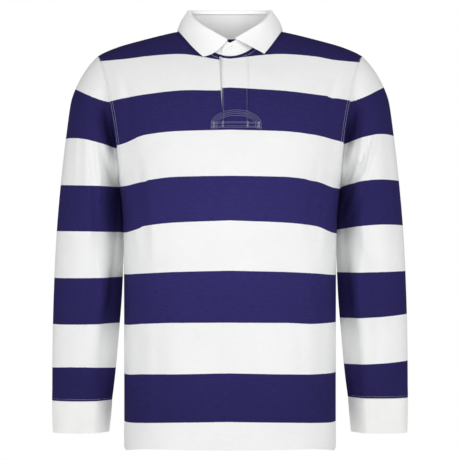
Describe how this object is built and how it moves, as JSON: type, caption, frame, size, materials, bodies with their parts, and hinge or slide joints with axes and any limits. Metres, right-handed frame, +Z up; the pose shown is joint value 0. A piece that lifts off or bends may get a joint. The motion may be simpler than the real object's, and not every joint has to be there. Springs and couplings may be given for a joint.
{
  "type": "rugby shirt",
  "caption": "Long-sleeved hooped rugby shirt, filled out as worn, with a white turn-down collar, a short buttoned placket, plain cuffs and side vents.",
  "frame": {"origin": "middle of the neck, level with the neck ends of the shoulder seams, where the wearer's shoulders carry the shirt", "axes": "+Z up, the front faces -Y, the wearer's left is +X"},
  "size_m": [0.6172, 0.2399, 0.7754],
  "materials": {
    "hooped_jersey": "matt heavy cotton jersey in wide navy and white hoops",
    "white_jersey": "matt white cotton jersey",
    "white_twill": "matt white cotton twill",
    "button_rubber": "satin white"
  },
  "bodies": {
    "root": {"front": "hooped_jersey", "back": "hooped_jersey", "sleeve_left": "hooped_jersey", "sleeve_right": "hooped_jersey", "placket_over": "hooped_jersey", "cuff_left": "white_jersey", "cuff_right": "white_jersey", "collar_stand": "white_twill", "collar_leaf": "white_twill", "placket_under": "white_twill", "collar_button": "button_rubber"}
  },
  "joints": []
}
